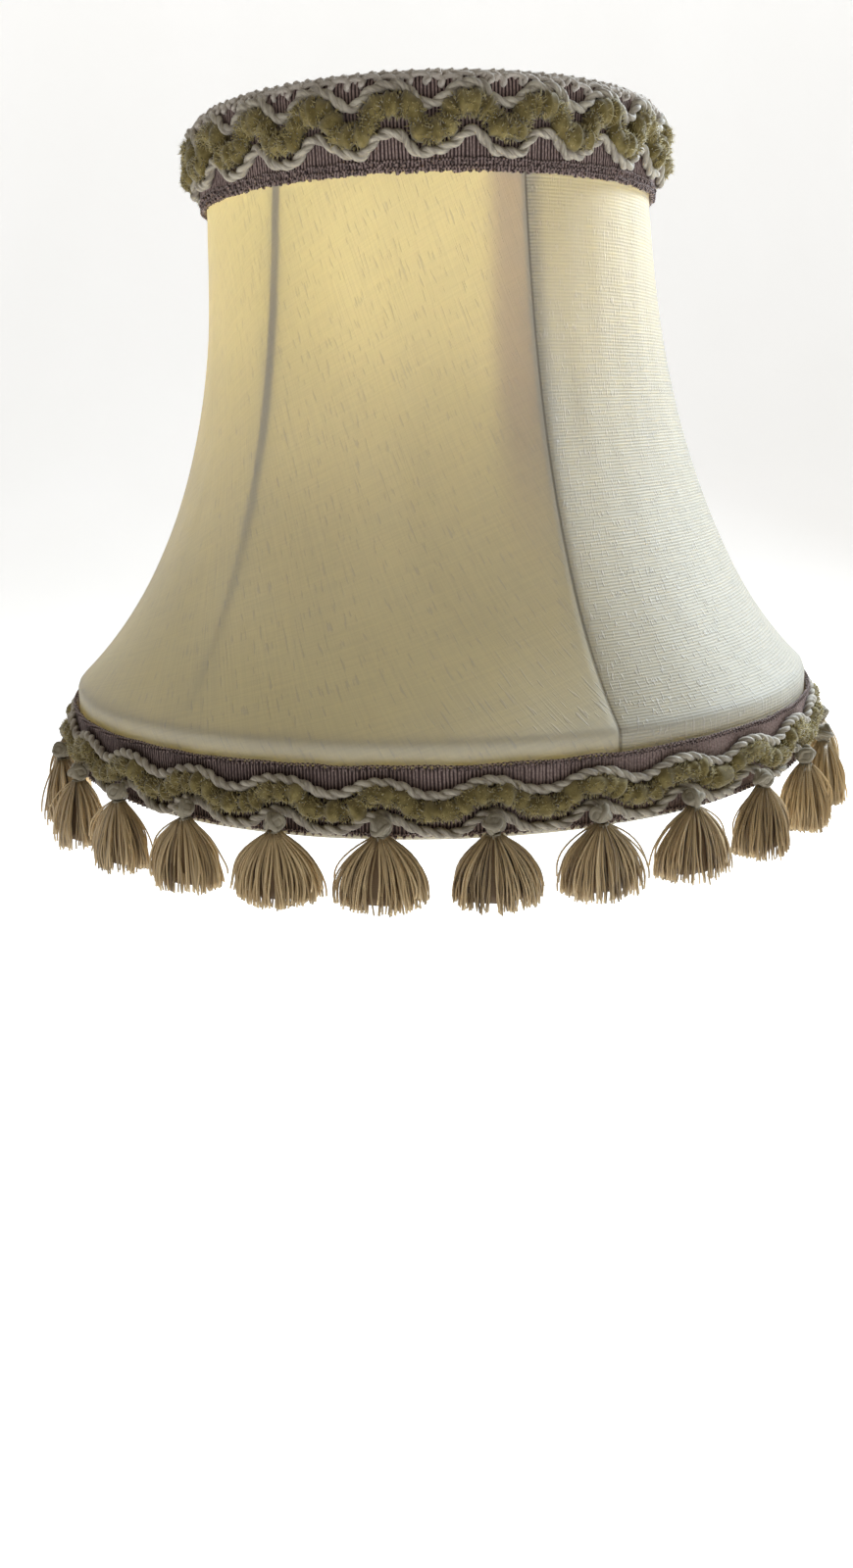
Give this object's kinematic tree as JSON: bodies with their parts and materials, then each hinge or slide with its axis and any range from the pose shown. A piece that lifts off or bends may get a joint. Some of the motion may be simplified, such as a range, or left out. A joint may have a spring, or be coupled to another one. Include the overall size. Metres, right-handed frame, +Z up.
{
  "type": "lamp shade",
  "caption": "Bell-shaped fabric lamp shade on a ribbed wire frame, with a sunk arm fitter, braid and cord trim, and tassels that swing from the lower edge.",
  "frame": {"origin": "centre of the fitter's hole, level with the fitter's underside, which rests on the lamp holder", "axes": "+Z up along the shade's axis, towards the top ring; -Y is the front; a rib lies on +X"},
  "size_m": [0.2788, 0.2788, 0.2145],
  "materials": {
    "frame_wire": "white epoxy-coated wire, satin",
    "fitter_metal": "white enamelled steel, satin",
    "silk_cover": "cream slubbed silk, soft sheen, lets light through",
    "lining_cloth": "plain pale lining satin",
    "ribbed_braid": "ribbed mauve-taupe braid, matt",
    "twisted_cord": "two-ply twisted cord, grey-white with a low sheen",
    "chenille": "olive chenille pile, matt",
    "tassel_thread": "beige-gold rayon threads, soft sheen"
  },
  "bodies": {
    "shade": {"top_ring": "frame_wire", "shoulder_ring": "frame_wire", "bottom_ring": "frame_wire", "rib_1": "frame_wire", "rib_2": "frame_wire", "rib_3": "frame_wire", "rib_4": "frame_wire", "rib_5": "frame_wire", "rib_6": "frame_wire", "fitter_ring": "fitter_metal", "fitter_arm_1": "fitter_metal", "fitter_arm_2": "fitter_metal", "fitter_arm_3": "fitter_metal", "cover_front_left": "silk_cover", "cover_back_right": "silk_cover", "lining_front_left": "lining_cloth", "lining_back_right": "lining_cloth", "top_braid": "ribbed_braid", "bottom_braid": "ribbed_braid", "top_upper_cord": "twisted_cord", "top_lower_cord": "twisted_cord", "bottom_upper_cord": "twisted_cord", "bottom_lower_cord": "twisted_cord", "top_chenille": "chenille", "bottom_chenille": "chenille"},
    "tassel_01": {"tassel_01": "tassel_thread"},
    "tassel_02": {"tassel_02": "tassel_thread"},
    "tassel_03": {"tassel_03": "tassel_thread"},
    "tassel_04": {"tassel_04": "tassel_thread"},
    "tassel_05": {"tassel_05": "tassel_thread"},
    "tassel_06": {"tassel_06": "tassel_thread"},
    "tassel_07": {"tassel_07": "tassel_thread"},
    "tassel_08": {"tassel_08": "tassel_thread"},
    "tassel_09": {"tassel_09": "tassel_thread"},
    "tassel_10": {"tassel_10": "tassel_thread"},
    "tassel_11": {"tassel_11": "tassel_thread"},
    "tassel_12": {"tassel_12": "tassel_thread"},
    "tassel_13": {"tassel_13": "tassel_thread"},
    "tassel_14": {"tassel_14": "tassel_thread"},
    "tassel_15": {"tassel_15": "tassel_thread"},
    "tassel_16": {"tassel_16": "tassel_thread"},
    "tassel_17": {"tassel_17": "tassel_thread"},
    "tassel_18": {"tassel_18": "tassel_thread"},
    "tassel_19": {"tassel_19": "tassel_thread"},
    "tassel_20": {"tassel_20": "tassel_thread"},
    "tassel_21": {"tassel_21": "tassel_thread"},
    "tassel_22": {"tassel_22": "tassel_thread"},
    "tassel_23": {"tassel_23": "tassel_thread"},
    "tassel_24": {"tassel_24": "tassel_thread"},
    "tassel_25": {"tassel_25": "tassel_thread"},
    "tassel_26": {"tassel_26": "tassel_thread"},
    "tassel_27": {"tassel_27": "tassel_thread"},
    "tassel_28": {"tassel_28": "tassel_thread"}
  },
  "joints": [
    {"name": "tassel_01_swing", "type": "hinge", "parent": "shade", "child": "tassel_01", "pos_m": [0, -0.13242, -0.1699], "axis": [-1, 0, 0], "range_deg": [0, 70]},
    {"name": "tassel_02_swing", "type": "hinge", "parent": "shade", "child": "tassel_02", "pos_m": [0.02947, -0.1291, -0.1699], "axis": [-0.9749, -0.2225, 0], "range_deg": [0, 70]},
    {"name": "tassel_03_swing", "type": "hinge", "parent": "shade", "child": "tassel_03", "pos_m": [0.05745, -0.1193, -0.1699], "axis": [-0.901, -0.4339, 0], "range_deg": [0, 70]},
    {"name": "tassel_04_swing", "type": "hinge", "parent": "shade", "child": "tassel_04", "pos_m": [0.08256, -0.10353, -0.1699], "axis": [-0.7818, -0.6235, 0], "range_deg": [0, 70]},
    {"name": "tassel_05_swing", "type": "hinge", "parent": "shade", "child": "tassel_05", "pos_m": [0.10353, -0.08256, -0.1699], "axis": [-0.6235, -0.7818, 0], "range_deg": [0, 70]},
    {"name": "tassel_06_swing", "type": "hinge", "parent": "shade", "child": "tassel_06", "pos_m": [0.1193, -0.05745, -0.1699], "axis": [-0.4339, -0.901, 0], "range_deg": [0, 70]},
    {"name": "tassel_07_swing", "type": "hinge", "parent": "shade", "child": "tassel_07", "pos_m": [0.1291, -0.02947, -0.1699], "axis": [-0.2225, -0.9749, 0], "range_deg": [0, 70]},
    {"name": "tassel_08_swing", "type": "hinge", "parent": "shade", "child": "tassel_08", "pos_m": [0.13242, 0, -0.1699], "axis": [0, -1, 0], "range_deg": [0, 70]},
    {"name": "tassel_09_swing", "type": "hinge", "parent": "shade", "child": "tassel_09", "pos_m": [0.1291, 0.02947, -0.1699], "axis": [0.2225, -0.9749, 0], "range_deg": [0, 70]},
    {"name": "tassel_10_swing", "type": "hinge", "parent": "shade", "child": "tassel_10", "pos_m": [0.1193, 0.05745, -0.1699], "axis": [0.4339, -0.901, 0], "range_deg": [0, 70]},
    {"name": "tassel_11_swing", "type": "hinge", "parent": "shade", "child": "tassel_11", "pos_m": [0.10353, 0.08256, -0.1699], "axis": [0.6235, -0.7818, 0], "range_deg": [0, 70]},
    {"name": "tassel_12_swing", "type": "hinge", "parent": "shade", "child": "tassel_12", "pos_m": [0.08256, 0.10353, -0.1699], "axis": [0.7818, -0.6235, 0], "range_deg": [0, 70]},
    {"name": "tassel_13_swing", "type": "hinge", "parent": "shade", "child": "tassel_13", "pos_m": [0.05745, 0.1193, -0.1699], "axis": [0.901, -0.4339, 0], "range_deg": [0, 70]},
    {"name": "tassel_14_swing", "type": "hinge", "parent": "shade", "child": "tassel_14", "pos_m": [0.02947, 0.1291, -0.1699], "axis": [0.9749, -0.2225, 0], "range_deg": [0, 70]},
    {"name": "tassel_15_swing", "type": "hinge", "parent": "shade", "child": "tassel_15", "pos_m": [0, 0.13242, -0.1699], "axis": [1, 0, 0], "range_deg": [0, 70]},
    {"name": "tassel_16_swing", "type": "hinge", "parent": "shade", "child": "tassel_16", "pos_m": [-0.02947, 0.1291, -0.1699], "axis": [0.9749, 0.2225, 0], "range_deg": [0, 70]},
    {"name": "tassel_17_swing", "type": "hinge", "parent": "shade", "child": "tassel_17", "pos_m": [-0.05745, 0.1193, -0.1699], "axis": [0.901, 0.4339, 0], "range_deg": [0, 70]},
    {"name": "tassel_18_swing", "type": "hinge", "parent": "shade", "child": "tassel_18", "pos_m": [-0.08256, 0.10353, -0.1699], "axis": [0.7818, 0.6235, 0], "range_deg": [0, 70]},
    {"name": "tassel_19_swing", "type": "hinge", "parent": "shade", "child": "tassel_19", "pos_m": [-0.10353, 0.08256, -0.1699], "axis": [0.6235, 0.7818, 0], "range_deg": [0, 70]},
    {"name": "tassel_20_swing", "type": "hinge", "parent": "shade", "child": "tassel_20", "pos_m": [-0.1193, 0.05745, -0.1699], "axis": [0.4339, 0.901, 0], "range_deg": [0, 70]},
    {"name": "tassel_21_swing", "type": "hinge", "parent": "shade", "child": "tassel_21", "pos_m": [-0.1291, 0.02947, -0.1699], "axis": [0.2225, 0.9749, 0], "range_deg": [0, 70]},
    {"name": "tassel_22_swing", "type": "hinge", "parent": "shade", "child": "tassel_22", "pos_m": [-0.13242, 0, -0.1699], "axis": [0, 1, 0], "range_deg": [0, 70]},
    {"name": "tassel_23_swing", "type": "hinge", "parent": "shade", "child": "tassel_23", "pos_m": [-0.1291, -0.02947, -0.1699], "axis": [-0.2225, 0.9749, 0], "range_deg": [0, 70]},
    {"name": "tassel_24_swing", "type": "hinge", "parent": "shade", "child": "tassel_24", "pos_m": [-0.1193, -0.05745, -0.1699], "axis": [-0.4339, 0.901, 0], "range_deg": [0, 70]},
    {"name": "tassel_25_swing", "type": "hinge", "parent": "shade", "child": "tassel_25", "pos_m": [-0.10353, -0.08256, -0.1699], "axis": [-0.6235, 0.7818, 0], "range_deg": [0, 70]},
    {"name": "tassel_26_swing", "type": "hinge", "parent": "shade", "child": "tassel_26", "pos_m": [-0.08256, -0.10353, -0.1699], "axis": [-0.7818, 0.6235, 0], "range_deg": [0, 70]},
    {"name": "tassel_27_swing", "type": "hinge", "parent": "shade", "child": "tassel_27", "pos_m": [-0.05745, -0.1193, -0.1699], "axis": [-0.901, 0.4339, 0], "range_deg": [0, 70]},
    {"name": "tassel_28_swing", "type": "hinge", "parent": "shade", "child": "tassel_28", "pos_m": [-0.02947, -0.1291, -0.1699], "axis": [-0.9749, 0.2225, 0], "range_deg": [0, 70]}
  ]
}
